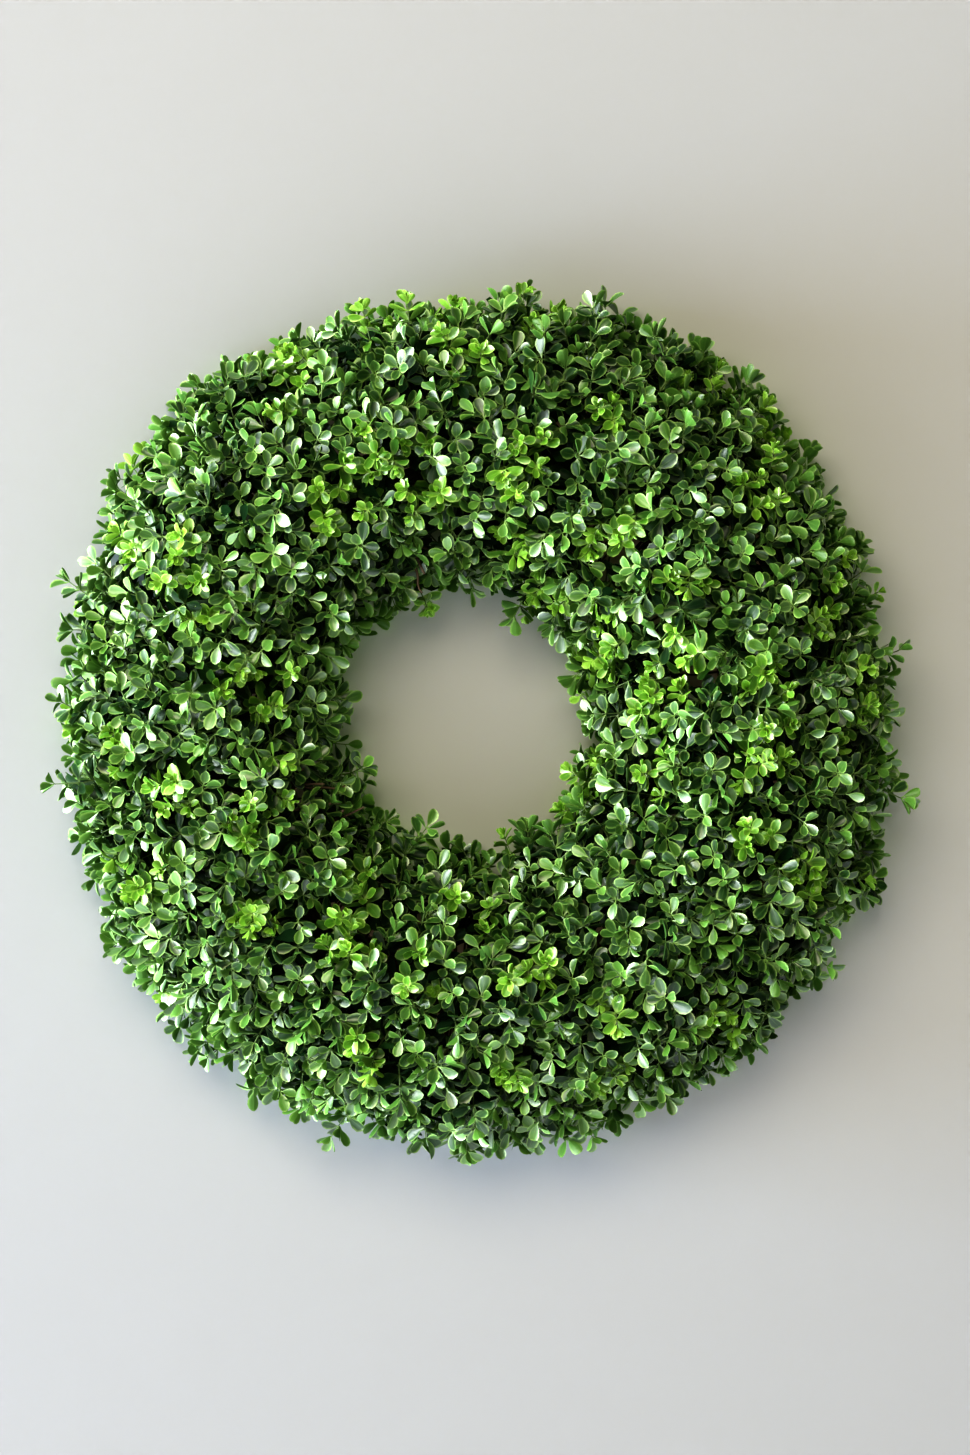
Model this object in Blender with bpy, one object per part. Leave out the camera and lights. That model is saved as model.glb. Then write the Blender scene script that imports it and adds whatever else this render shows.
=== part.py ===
"""An artificial boxwood wreath on a base ring of twisted vines, as it hangs on a wall.

Metres, +Z up. The front faces -Y and the wall is the plane Y = 0. The origin is where the nail
stands in the wall, at the inner top of the hanger's loop. Angles round the wreath (theta) run
anticlockwise from +X, seen from the front. Angles round the vines (alpha), in a cut across the
ring, run from 0 at the outer side over 90 at the front to 180 at the hole.
"""

import math
import random

import bmesh
import bpy
from mathutils import Matrix, Vector
from mathutils.bvhtree import BVHTree

# Base ring of vines
RING_RADIUS = 0.238
HANG_DROP = 0.278
BUNDLE_DEPTH = 0.030
VINES = 4
VINE_RADIUS = 0.0099
HELIX_RADIUS = 0.0150
TWISTS = 3
VINE_POINTS = 27
VINE_BEVEL_RESOLUTION = 1

# Binding wires and hanger
WIRE_RADIUS = 0.0012
BINDING_ANGLES = (28.0, 152.0, 270.0)
HANGER_WIRE_RADIUS = 0.0015
EYE_INNER_RADIUS = 0.008
EYE_DEPTH = 0.0036
TWIST_RADIUS = 0.0026
TWIST_LENGTH = 0.019
TWIST_SIDES = 7
WIRE_SIDES = 5
WIRE_STEPS = 12

# Outline of the foliage: mean radius and its slow waves (count, height, angle of a crest)
OUTER_RADIUS = 0.383
OUTER_WAVES = ((1, 0.0055, 132.0), (2, 0.0055, -174.0), (4, 0.0065, -171.0), (5, 0.0033, -40.0))
HOLE_RADIUS = 0.1006
HOLE_WAVES = ((1, 0.0175, 165.0), (2, 0.0057, -145.0))
FRONT_REACH = 0.138

# Rows of bunches: name, lower and upper alpha, theta of the first bunch, and the bunches in
# turn, G for a bunch of grown sprays and y for one of young sprays, which is half as long
ROWS = (
    ("outer", -11.0, 39.5, 43.3, "yGGyGyGyGGGyGGGG"),
    ("front_outer", 39.5, 90.0, -6.4, "yGGGyGyGyGyGyG"),
    ("front_inner", 90.0, 140.5, -20.6, "yGyGyGyGyGG"),
    ("inner", 140.5, 191.0, 309.0, "yGyGGGGG"),
)
YOUNG_SHARE = 0.5

# Bunch bodies: the gathered stems and inner leaves that the outer leaves stand out of
BODY_BELOW_TIPS = 0.030
BODY_EDGE_DROP = 0.009
BODY_GATHER = 0.42
BODY_SPREAD_POWER = 0.75
BODY_MARGIN = 0.0013

# Seats and clear room
SEAT_GAP = 0.0003
SEAT_START = 0.045
SEAT_STEPS = 12
SPREAD_STEPS = 8
NEAR_CARRIER = 0.080
CLEAR_GAP = 0.00025
WALL_GAP = 0.0010

# Whorls: their places on a bunch, from -1 to 1 each way
SIDE_WHORLS = ((-0.64, -0.42), (0.0, 0.42), (0.64, -0.42))
FRONT_WHORLS = ((-0.72, -0.45), (-0.26, 0.48), (0.26, -0.48), (0.72, 0.45))
YOUNG_WHORLS = ((-0.34, -0.48), (0.34, 0.48))
WHORL_SHIFT = 0.06
AXIS_SHIFT = 0.12
LEAVES_IN_WHORL = 4

# Leaves, larger than life: length and width, then the outline as shares of them
LEAF_SIZES = {"grown": (0.060, 0.037), "young": (0.045, 0.028)}
LEAF_THICKNESS = 0.0008
LEAF_SHOULDER = (0.66, 0.50)
LEAF_TIP = (1.0, 0.17)
LEAF_FOLD = math.radians(14.0)
LEAF_CURL = 0.08
LEAF_SUNK = 0.009
LEAF_RING = 0.0070
LEAF_TILT = 52.0
TILT_SPREAD = 8.0
TURN_SPREAD = 9.0
SIZE_RANGE = (0.94, 1.05)
# Other ways to hold a leaf that has no room: less tilt and more turn in degrees, and its size
LEAF_TRIES = (
    (0, 0, 1.0), (10, 14, 1.0), (10, -14, 1.0), (-8, 0, 1.0), (20, 0, 1.0), (22, 24, 0.95),
    (22, -24, 0.95), (32, 0, 0.92), (34, 20, 0.88), (34, -20, 0.88),
)
SEED = 7
FLAT_ANGLE = math.radians(0.05)

# Colour, roughness and metallic value of each kind of piece
FINISHES = {
    "vine": ((0.150, 0.085, 0.045), 0.85, 0.0),
    "wire": ((0.060, 0.050, 0.040), 0.45, 0.9),
    "grown": ((0.040, 0.115, 0.022), 0.42, 0.0),
    "young": ((0.130, 0.290, 0.030), 0.45, 0.0),
}


def clear_scene():
    for old in list(bpy.data.objects):
        bpy.data.objects.remove(old, do_unlink=True)
    collection = bpy.data.collections.new("boxwood_wreath")
    bpy.context.scene.collection.children.link(collection)
    return collection


def material(name, kind):
    """A plain Principled material of its own for one piece."""
    colour, roughness, metallic = FINISHES[kind]
    made = bpy.data.materials.new(name)
    made.use_nodes = True
    shader = made.node_tree.nodes["Principled BSDF"]
    shader.inputs["Base Color"].default_value = (*colour, 1.0)
    shader.inputs["Roughness"].default_value = roughness
    shader.inputs["Metallic"].default_value = metallic
    return made


def add_mesh(name, bm, kind):
    """An object in the wreath's collection from a bmesh, which is freed."""
    mesh = bpy.data.meshes.new(name)
    bm.to_mesh(mesh)
    bm.free()
    mesh.materials.append(material(name, kind))
    if kind == "wire":
        mesh.shade_smooth()
    obj = bpy.data.objects.new(name, mesh)
    wreath.objects.link(obj)
    return obj


def waves(mean, terms, theta):
    """A radius at an angle round the wreath: the mean and its slow waves."""
    return mean + sum(
        height * math.cos(count * theta - math.radians(crest)) for count, height, crest in terms
    )


def out_from_vines(theta, alpha):
    """The direction that leaves the bundle of vines at these two angles."""
    across = math.cos(alpha)
    return Vector((across * math.cos(theta), -math.sin(alpha), across * math.sin(theta)))


def place(theta, alpha, distance):
    """A point at a distance from the middle of the bundle of vines."""
    middle = Vector(
        (RING_RADIUS * math.cos(theta), -BUNDLE_DEPTH, RING_RADIUS * math.sin(theta) - HANG_DROP)
    )
    return middle + distance * out_from_vines(theta, alpha)


def reach(theta, alpha):
    """How far the leaf tips stand from the middle of the bundle."""
    across = math.cos(alpha)
    if across > 0:
        side = waves(OUTER_RADIUS, OUTER_WAVES, theta) - RING_RADIUS
    else:
        side = RING_RADIUS - waves(HOLE_RADIUS, HOLE_WAVES, theta)
    return side * across**2 + FRONT_REACH * math.sin(alpha) ** 2


def world_mesh(obj):
    """Points and triangles of an object as it is built, in world space."""
    evaluated = obj.evaluated_get(bpy.context.evaluated_depsgraph_get())
    mesh = evaluated.to_mesh()
    mesh.calc_loop_triangles()
    points = [obj.matrix_world @ vert.co for vert in mesh.vertices]
    triangles = [tuple(tri.vertices) for tri in mesh.loop_triangles]
    evaluated.to_mesh_clear()
    return points, triangles


def taken_mesh(bm):
    """Points and triangles of a bmesh, which is freed."""
    bmesh.ops.triangulate(bm, faces=bm.faces[:])
    bm.verts.index_update()
    points = [vert.co.copy() for vert in bm.verts]
    triangles = [tuple(vert.index for vert in face.verts) for face in bm.faces]
    bm.free()
    return points, triangles


def spread_points(points, triangles, steps=SPREAD_STEPS):
    """Points spread evenly over the triangles, their corners and edges included."""
    spread = []
    for one, two, three in triangles:
        for i in range(steps + 1):
            for j in range(steps + 1 - i):
                k = steps - i - j
                spread.append((points[one] * i + points[two] * j + points[three] * k) / steps)
    return spread


class Carriers:
    """Pieces that carry others, to lower a piece on to them."""

    def __init__(self, objects):
        meshes = [world_mesh(obj) for obj in objects]
        self.trees = [BVHTree.FromPolygons(*mesh) for mesh in meshes]
        self.points = [point for mesh in meshes for point in spread_points(*mesh)]

    def lowered(self, shape, theta, alpha):
        """The distance from the middle of the vines at which a shape lies on them.

        shape gives a bmesh for a distance. It starts clear of the carriers, and each step
        takes it nearer by the room that is left.
        """
        middle = place(theta, alpha, 0.0)
        near = [point for point in self.points if (point - middle).length < NEAR_CARRIER]
        distance = SEAT_START
        for _ in range(SEAT_STEPS):
            points, triangles = taken_mesh(shape(distance))
            tree = BVHTree.FromPolygons(points, triangles)
            room = [tree.find_nearest(point)[3] for point in near]
            for carrier in self.trees:
                room += [carrier.find_nearest(p)[3] for p in spread_points(points, triangles)]
            distance -= min(room) - SEAT_GAP
        return distance


def add_vine(name, phase):
    """One long vine, closed to a ring and wound round the middle of the bundle."""
    curve = bpy.data.curves.new(name, "CURVE")
    curve.dimensions = "3D"
    curve.bevel_depth = VINE_RADIUS
    curve.bevel_resolution = VINE_BEVEL_RESOLUTION
    spline = curve.splines.new("POLY")
    spline.points.add(VINE_POINTS - 1)
    spline.use_cyclic_u = True
    for index, point in enumerate(spline.points):
        theta = math.tau * index / VINE_POINTS
        point.co = (*place(theta, TWISTS * theta + phase, HELIX_RADIUS), 1.0)
    curve.materials.append(material(name, "vine"))
    obj = bpy.data.objects.new(name, curve)
    wreath.objects.link(obj)
    return obj


def wire_ring(radius, wire_radius, matrix):
    """A ring of wire: a circle spun once round, then placed."""
    bm = bmesh.new()
    bmesh.ops.create_circle(bm, segments=WIRE_SIDES, radius=wire_radius)
    bmesh.ops.rotate(bm, verts=bm.verts[:], matrix=Matrix.Rotation(math.pi / 2, 3, "X"))
    bmesh.ops.translate(bm, verts=bm.verts[:], vec=(radius, 0.0, 0.0))
    bmesh.ops.spin(
        bm, geom=bm.edges[:], axis=(0, 0, 1), angle=math.tau, steps=WIRE_STEPS, use_merge=True
    )
    bmesh.ops.recalc_face_normals(bm, faces=bm.faces[:])
    bmesh.ops.transform(bm, matrix=matrix, verts=bm.verts[:])
    return bm


def across_ring(theta):
    """Turns a flat ring into the cut across the bundle at this angle, round its middle."""
    along = Vector((-math.sin(theta), 0.0, math.cos(theta)))
    out = Vector((math.cos(theta), 0.0, math.sin(theta)))
    turn = Matrix((out, along.cross(out), along)).transposed().to_4x4()
    return Matrix.Translation(place(theta, 0.0, 0.0)) @ turn


def tied_ring(bundle, wire_radius, theta):
    """A ring of wire that lies round the vines at this angle, its gap included."""
    matrix = across_ring(theta)
    radius = bundle.lowered(lambda size: wire_ring(size, wire_radius, matrix), theta, 0.0)
    return wire_ring(radius, wire_radius, matrix)


def keep_main_body(bm):
    """Drops loose scraps and the walls of sealed hollows: all but the largest shell."""
    unseen = set(bm.verts)
    shells = []
    while unseen:
        shell = set()
        front = [unseen.pop()]
        while front:
            vert = front.pop()
            shell.add(vert)
            near = [edge.other_vert(vert) for edge in vert.link_edges]
            front += [other for other in near if other in unseen]
            unseen.difference_update(near)
        shells.append(shell)
    shells.sort(key=len)
    for shell in shells[:-1]:
        bmesh.ops.delete(bm, geom=list(shell), context="VERTS")


def united(name, first, others, kind):
    """Joins the others to the first in one closed body and removes them."""
    joined = bpy.data.collections.new(name + "_joined")
    bpy.context.scene.collection.children.link(joined)
    for obj in others:
        joined.objects.link(obj)
    union = first.modifiers.new("joined", "BOOLEAN")
    union.operation = "UNION"
    union.operand_type = "COLLECTION"
    union.collection = joined
    union.solver = "MANIFOLD"
    graph = bpy.context.evaluated_depsgraph_get()
    mesh = bpy.data.meshes.new_from_object(first.evaluated_get(graph))
    for obj in [first, *others]:
        bpy.data.objects.remove(obj, do_unlink=True)
    bpy.data.collections.remove(joined)
    bm = bmesh.new()
    bm.from_mesh(mesh)
    bpy.data.meshes.remove(mesh)
    keep_main_body(bm)
    bmesh.ops.dissolve_limit(
        bm, angle_limit=FLAT_ANGLE, verts=bm.verts[:], edges=bm.edges[:],
        use_dissolve_boundaries=False,
    )
    bmesh.ops.triangulate(bm, faces=bm.faces[:])
    return add_mesh(name, bm, kind)


def add_hanger(bundle):
    """A wire tied round the vines at the top, with a twisted neck and a loop behind them."""
    tie = add_mesh("hanger_tie", tied_ring(bundle, HANGER_WIRE_RADIUS, math.pi / 2), "wire")
    upright = Matrix.Rotation(math.pi / 2, 4, "X")
    middle = Matrix.Translation((0.0, -EYE_DEPTH, -EYE_INNER_RADIUS))
    eye_radius = EYE_INNER_RADIUS + HANGER_WIRE_RADIUS
    ring = wire_ring(eye_radius, HANGER_WIRE_RADIUS, middle @ upright)
    eye = add_mesh("hanger_eye", ring, "wire")
    neck = bmesh.new()
    bmesh.ops.create_cone(
        neck, cap_ends=True, segments=TWIST_SIDES, radius1=TWIST_RADIUS, radius2=TWIST_RADIUS,
        depth=TWIST_LENGTH,
    )
    neck_middle = -EYE_INNER_RADIUS - eye_radius - TWIST_LENGTH / 2
    bmesh.ops.translate(neck, verts=neck.verts[:], vec=(0.0, -EYE_DEPTH, neck_middle))
    return united("wall_hanger", eye, [tie, add_mesh("hanger_neck", neck, "wire")], "wire")


class Bunch:
    """One bunch of sprays: its piece of the foliage between two angles each way."""

    def __init__(self, row, number, kind, thetas, alphas):
        self.name = f"{row}_{kind}_{number:02d}"
        self.row = row
        self.kind = kind
        self.number = number
        self.middle = (sum(thetas) / 2, sum(alphas) / 2)
        self.half = ((thetas[1] - thetas[0]) / 2, (alphas[1] - alphas[0]) / 2)
        self.base = SEAT_START

    def angles(self, a, b):
        return self.middle[0] + a * self.half[0], self.middle[1] + b * self.half[1]

    def point(self, a, b, height, base):
        """A point of the bunch body: a along the ring, b across it, height from 0 to 1.

        Its flat walls bulge towards the hole, so they are drawn in there by that much.
        """
        theta, alpha = self.angles(a, b)
        drop = BODY_EDGE_DROP * max(abs(a), abs(b)) ** 2
        top = reach(theta, alpha) - BODY_BELOW_TIPS - drop
        distance = base + (top - base) * height
        radius = RING_RADIUS + distance * math.cos(alpha)
        spread = BODY_GATHER + (1.0 - BODY_GATHER) * height**BODY_SPREAD_POWER
        half_theta = self.half[0] * spread - BODY_MARGIN / radius
        flat = half_theta / 2 if height > 0.5 else half_theta
        bulge = max(0.0, radius * (1.0 - math.cos(flat)) * math.sin(alpha)) if b > 0 else 0.0
        half_alpha = self.half[1] - (BODY_MARGIN + bulge) / distance
        return place(self.middle[0] + a * half_theta, self.middle[1] + b * half_alpha, distance)

    def body(self, base):
        """A cube with its top face cut in four, bent to the bunch's wedge with a domed top."""
        bm = bmesh.new()
        bmesh.ops.create_cube(bm, size=2.0)
        top = [edge for edge in bm.edges if all(vert.co.z > 0 for vert in edge.verts)]
        bmesh.ops.subdivide_edges(bm, edges=top, cuts=1, use_grid_fill=True)
        for vert in bm.verts:
            vert.co = self.point(vert.co.x, vert.co.y, (vert.co.z + 1.0) / 2, base)
        bmesh.ops.triangulate(bm, faces=bm.faces[:])
        bmesh.ops.recalc_face_normals(bm, faces=bm.faces[:])
        return bm

    def sit(self, carriers):
        """Sits the body on the vines or the wire under it and keeps its tree."""
        self.base = carriers.lowered(self.body, *self.middle)
        self.tree = BVHTree.FromPolygons(*taken_mesh(self.body(self.base)))

    def whorls(self):
        """The places of the whorls, turned over in every other bunch."""
        if self.kind == "young":
            places = YOUNG_WHORLS
        else:
            places = FRONT_WHORLS if self.row.startswith("front") else SIDE_WHORLS
        side = 1 if self.number % 2 else -1
        return [(a, b * side) for a, b in places]


def all_bunches():
    """All bunches, row by row, each row filled once round."""
    made = []
    for row, low, high, start, letters in ROWS:
        shares = [YOUNG_SHARE if letter == "y" else 1.0 for letter in letters]
        unit = 360.0 / sum(shares)
        angle = start
        for number, (letter, share) in enumerate(zip(letters, shares), 1):
            kind = "young" if letter == "y" else "grown"
            thetas = (math.radians(angle), math.radians(angle + unit * share))
            made.append(Bunch(row, number, kind, thetas, (math.radians(low), math.radians(high))))
            angle += unit * share
    return made


def leaf_pattern():
    """A leaf's points and faces: base at 0 and tip at 1 along x, upper layer 0, lower -1."""
    bm = bmesh.new()
    bmesh.ops.create_circle(bm, cap_ends=True, segments=5, radius=1.0)
    outline = (
        LEAF_TIP, LEAF_SHOULDER, (0.0, 0.0), (LEAF_SHOULDER[0], -LEAF_SHOULDER[1]),
        (LEAF_TIP[0], -LEAF_TIP[1]),
    )
    ring = sorted(bm.verts, key=lambda vert: math.atan2(vert.co.y, vert.co.x) % math.tau)
    for vert, (x, y) in zip(ring, outline):
        vert.co = (x, y, 0.0)
    bmesh.ops.connect_verts(bm, verts=[ring[1], ring[3]])
    bmesh.ops.connect_verts(bm, verts=[ring[1], ring[4]])
    copied = bmesh.ops.extrude_face_region(bm, geom=bm.faces[:], use_keep_orig=True)
    lower = [item for item in copied["geom"] if isinstance(item, bmesh.types.BMVert)]
    bmesh.ops.translate(bm, verts=lower, vec=(0.0, 0.0, -1.0))
    bmesh.ops.recalc_face_normals(bm, faces=bm.faces[:])
    return taken_mesh(bm)


def leaf_points(matrix, length, width, grow=0.0):
    """A folded leaf in world space; grow makes it larger on all sides, to test its room."""
    placed = []
    for point in LEAF_POINTS:
        side = point.y * (width + 2 * grow)
        x = -grow + point.x * (length + 2 * grow)
        lift = abs(side) * math.tan(LEAF_FOLD) + LEAF_CURL * length * point.x**2
        layer = grow + point.z * (LEAF_THICKNESS + 2 * grow)
        placed.append(matrix @ Vector((x, side, lift + layer)))
    return placed


def leaf_matrix(root, axis, side, tilt):
    """Stands a leaf on a whorl: tilted from its axis, with the upper face outwards."""
    along = math.cos(tilt) * axis + math.sin(tilt) * side
    up = math.sin(tilt) * axis - math.cos(tilt) * side
    matrix = Matrix((along, up.cross(along), up)).transposed().to_4x4()
    matrix.translation = root + LEAF_RING * side - LEAF_SUNK * along
    return matrix


class Foliage:
    """The leaves that stand so far, and whether the next one has room."""

    def __init__(self, bunches, carriers):
        self.bunches = bunches
        self.carriers = carriers
        self.leaves = []

    def has_room(self, whorl, points, wide_points):
        """Whether a leaf keeps off the wall, the base, the other bunches and other whorls."""
        if max(point.y for point in points) > -WALL_GAP:
            return False
        tree = BVHTree.FromPolygons(wide_points, LEAF_FACES)
        others = [bunch.tree for bunch in self.bunches if bunch is not whorl[0]]
        if any(tree.overlap(other) for other in others + self.carriers.trees):
            return False
        middle = sum(points, Vector()) / len(points)
        near = 1.4 * LEAF_SIZES["grown"][0]
        return not any(
            other_whorl != whorl
            and (middle - other_middle).length < near
            and tree.overlap(other_tree)
            for other_whorl, other_middle, other_tree in self.leaves
        )

    def add(self, whorl, points):
        """Keeps a leaf and gives its object."""
        middle = sum(points, Vector()) / len(points)
        self.leaves.append((whorl, middle, BVHTree.FromPolygons(points, LEAF_FACES)))
        mesh = bpy.data.meshes.new("leaf")
        mesh.from_pydata(points, [], LEAF_FACES)
        return bpy.data.objects.new("leaf", mesh)

    def grow_whorl(self, bunch, number, place_on_bunch, draw):
        """The leaves of one whorl that find room, as objects."""
        length, width = LEAF_SIZES[bunch.kind]
        a, b = (part + draw.uniform(-WHORL_SHIFT, WHORL_SHIFT) for part in place_on_bunch)
        axis = out_from_vines(*bunch.angles(a, b))
        above = bunch.point(a, b, 1.0, bunch.base) + LEAF_SUNK * axis
        root = bunch.tree.ray_cast(above, -axis)[0]
        axis = axis + AXIS_SHIFT * Vector([draw.uniform(-1, 1) for _ in range(3)])
        axis.normalize()
        first_side = axis.orthogonal().normalized()
        first_turn = draw.uniform(0, 360)
        objects = []
        for leaf in range(LEAVES_IN_WHORL):
            turn = first_turn + 360 * leaf / LEAVES_IN_WHORL
            turn += draw.uniform(-TURN_SPREAD, TURN_SPREAD)
            tilt = LEAF_TILT + draw.uniform(-TILT_SPREAD, TILT_SPREAD)
            size = draw.uniform(*SIZE_RANGE)
            for less_tilt, more_turn, smaller in LEAF_TRIES:
                side = Matrix.Rotation(math.radians(turn + more_turn), 3, axis) @ first_side
                matrix = leaf_matrix(root, axis, side, math.radians(tilt - less_tilt))
                span = (length * size * smaller, width * size * smaller)
                points = leaf_points(matrix, *span)
                wide_points = leaf_points(matrix, *span, grow=CLEAR_GAP)
                if self.has_room((bunch, number), points, wide_points):
                    objects.append(self.add((bunch, number), points))
                    break
        return objects


# The base ring: vines, the wires that bind them and the hanger at the top
wreath = clear_scene()
vines = [add_vine(f"vine_{n + 1:02d}", math.tau * n / VINES) for n in range(VINES)]
bpy.context.view_layer.update()
vine_bundle = Carriers(vines)
wires = []
for wire_number, degrees in enumerate(BINDING_ANGLES, 1):
    binding = tied_ring(vine_bundle, WIRE_RADIUS, math.radians(degrees))
    wires.append(add_mesh(f"binding_wire_{wire_number:02d}", binding, "wire"))
hanger = add_hanger(vine_bundle)
bpy.context.view_layer.update()
base_ring = Carriers([*vines, *wires, hanger])

# The foliage: bunch bodies on their seats, then the whorls of leaves that stand out of them
LEAF_POINTS, LEAF_FACES = leaf_pattern()
wreath_bunches = all_bunches()
for bunch in wreath_bunches:
    bunch.sit(base_ring)
foliage = Foliage(wreath_bunches, base_ring)
leaves = {}
for bunch in wreath_bunches:
    bunch_draw = random.Random(f"{SEED} {bunch.name}")
    leaves[bunch.name] = []
    for whorl_number, whorl_place in enumerate(bunch.whorls()):
        leaves[bunch.name] += foliage.grow_whorl(bunch, whorl_number, whorl_place, bunch_draw)
for bunch in wreath_bunches:
    bare = add_mesh(bunch.name + "_body", bunch.body(bunch.base), bunch.kind)
    united(bunch.name, bare, leaves[bunch.name], bunch.kind)
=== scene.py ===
import math
import random

import bmesh
import bpy
from mathutils import Matrix, Vector, noise


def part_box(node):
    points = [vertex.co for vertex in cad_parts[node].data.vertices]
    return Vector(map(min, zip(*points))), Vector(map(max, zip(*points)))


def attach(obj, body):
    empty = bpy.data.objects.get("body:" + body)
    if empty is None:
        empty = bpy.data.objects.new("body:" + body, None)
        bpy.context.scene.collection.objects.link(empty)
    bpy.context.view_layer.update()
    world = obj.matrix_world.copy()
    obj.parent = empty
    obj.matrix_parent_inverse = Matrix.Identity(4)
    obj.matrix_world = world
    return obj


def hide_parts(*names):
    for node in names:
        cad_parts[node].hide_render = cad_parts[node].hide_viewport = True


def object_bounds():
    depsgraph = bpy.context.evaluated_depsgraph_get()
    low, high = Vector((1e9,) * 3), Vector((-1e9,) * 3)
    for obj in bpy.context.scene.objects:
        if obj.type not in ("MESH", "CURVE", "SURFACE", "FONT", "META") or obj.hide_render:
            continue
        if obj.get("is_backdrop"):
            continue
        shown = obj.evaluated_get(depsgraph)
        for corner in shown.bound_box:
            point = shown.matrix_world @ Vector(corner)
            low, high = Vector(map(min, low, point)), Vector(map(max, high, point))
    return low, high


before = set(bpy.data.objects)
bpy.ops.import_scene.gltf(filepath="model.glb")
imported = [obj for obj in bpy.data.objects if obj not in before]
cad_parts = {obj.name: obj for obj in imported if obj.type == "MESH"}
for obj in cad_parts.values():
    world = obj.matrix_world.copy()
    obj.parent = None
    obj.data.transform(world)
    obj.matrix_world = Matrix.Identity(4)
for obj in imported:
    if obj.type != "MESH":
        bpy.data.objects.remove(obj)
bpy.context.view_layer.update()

# The base ring. Four long vines are wound round each other while they are green, closed to a ring
# and left to dry, so that they are hard and brown, with stringy bark and the knots of cut side
# shoots. Everything else is tied to them or stuck between them.
RING_RADIUS = 0.238
HANG_DROP = 0.278
BUNDLE_DEPTH = 0.030
HELIX_RADIUS = 0.0150
TWISTS = 3
VINE_RADIUS = 0.0099
VINE_STEPS = 240
VINE_SIDES = 22
# How high the ridges and lumps of the bark stand, as shares of the vine's radius, and how close
# they lie round the vine and along it
BARK_RIDGE = 0.06
BARK_LUMP = 0.05
RIDGES_AROUND = 2.6
RIDGES_ALONG = 3
LUMPS_ALONG = 7
KNOTS = 7
KNOT_HEIGHT = 0.0022
KNOT_LENGTH = 0.008
KNOT_NARROWNESS = 1.6
GRAIN_ALONG = 2.2
VINE_NODES = ("vine_01", "vine_02", "vine_03", "vine_04")
# Side twigs left on the vines: angle round the ring, angle round the bundle, reach of the tip
SIDE_TWIGS = {
    "vine_01": ((198.0, 139.0, 0.121), (62.0, -8.0, 0.085)),
    "vine_02": ((209.0, 141.0, 0.124), (330.0, 172.0, 0.080)),
    "vine_03": ((108.0, 147.0, 0.116), (120.0, 4.0, 0.090)),
    "vine_04": ((203.0, 133.0, 0.118), (240.0, 8.0, 0.085)),
}
TWIG_SWING = 0.05
TWIG_WANDER = 0.05
TWIG_RADII = (0.0021, 0.0011)
# Where a twig forks, as a share of its length, and how far the fork turns aside
TWIG_FORKS = ((0.62, -0.07), (0.78, 0.11))
FORK_REACH = 0.30
FORK_WANDER = 0.08
FORK_RADII = (TWIG_RADII[1] * 1.4, 0.0007)


class Signal:
    """A number, colour or vector on its way through a material. Arithmetic adds Math nodes."""

    def __init__(self, finish, socket):
        self.finish = finish
        self.socket = socket

    def math(self, operation, *values):
        return self.finish.node("ShaderNodeMath", {"operation": operation}, dict(enumerate(values)))

    def __add__(self, other):
        return self.math("ADD", self, other)

    def __radd__(self, other):
        return self.math("ADD", other, self)

    def __sub__(self, other):
        return self.math("SUBTRACT", self, other)

    def __rsub__(self, other):
        return self.math("SUBTRACT", other, self)

    def __mul__(self, other):
        return self.math("MULTIPLY", self, other)

    def __rmul__(self, other):
        return self.math("MULTIPLY", other, self)

    def __abs__(self):
        return self.math("ABSOLUTE", self)

    def smooth(self, start, end):
        """0 at start and 1 at end, with a soft change between them."""
        settings = {"interpolation_type": "SMOOTHSTEP"}
        ends = {"Value": self, "From Min": start, "From Max": end}
        return self.finish.node("ShaderNodeMapRange", settings, ends)


class Finish:
    """One material: a Principled shader and the nodes that feed it."""

    def __init__(self, name, **uniform):
        self.material = bpy.data.materials.new(name)
        self.material.use_nodes = True
        self.tree = self.material.node_tree
        self.shader = self.tree.nodes["Principled BSDF"]
        for socket, value in uniform.items():
            self.shader.inputs[socket.replace("_", " ")].default_value = value

    def node(self, kind, settings=None, inputs=None, output=0):
        """Adds a node, sets it up, then fills or links its sockets, and gives one output."""
        made = self.tree.nodes.new(kind)
        for name, value in (settings or {}).items():
            setattr(made, name, value)
        for socket, value in (inputs or {}).items():
            if isinstance(value, Signal):
                self.tree.links.new(value.socket, made.inputs[socket])
            else:
                made.inputs[socket].default_value = value
        return Signal(self, made.outputs[output])

    def mix(self, amount, first, second):
        """A colour between two others."""
        inputs = {0: amount, 6: first, 7: second}
        return self.node("ShaderNodeMix", {"data_type": "RGBA"}, inputs, 2)

    def feed(self, **signals):
        for socket, signal in signals.items():
            self.tree.links.new(signal.socket, self.shader.inputs[socket.replace("_", " ")])
        return self.material


def out_from_vines(theta, alpha):
    """The way out of the bundle of vines: theta round the ring, alpha round the bundle."""
    across = math.cos(alpha)
    return Vector((across * math.cos(theta), -math.sin(alpha), across * math.sin(theta)))


def place(theta, alpha, distance):
    """A point at a distance from the middle of the bundle of vines."""
    middle = Vector(
        (RING_RADIUS * math.cos(theta), -BUNDLE_DEPTH, RING_RADIUS * math.sin(theta) - HANG_DROP)
    )
    return middle + distance * out_from_vines(theta, alpha)


def add_piece(name, bm, materials, slot, *nodes):
    """Turns a bmesh into a piece that rides with the wreath and stands for the named nodes."""
    mesh = bpy.data.meshes.new(name)
    bm.to_mesh(mesh)
    bm.free()
    for made in materials:
        mesh.materials.append(made)
    piece = bpy.data.objects.new(name, mesh)
    bpy.context.scene.collection.objects.link(piece)
    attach(piece, "root")
    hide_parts(*nodes)
    return piece


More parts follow.
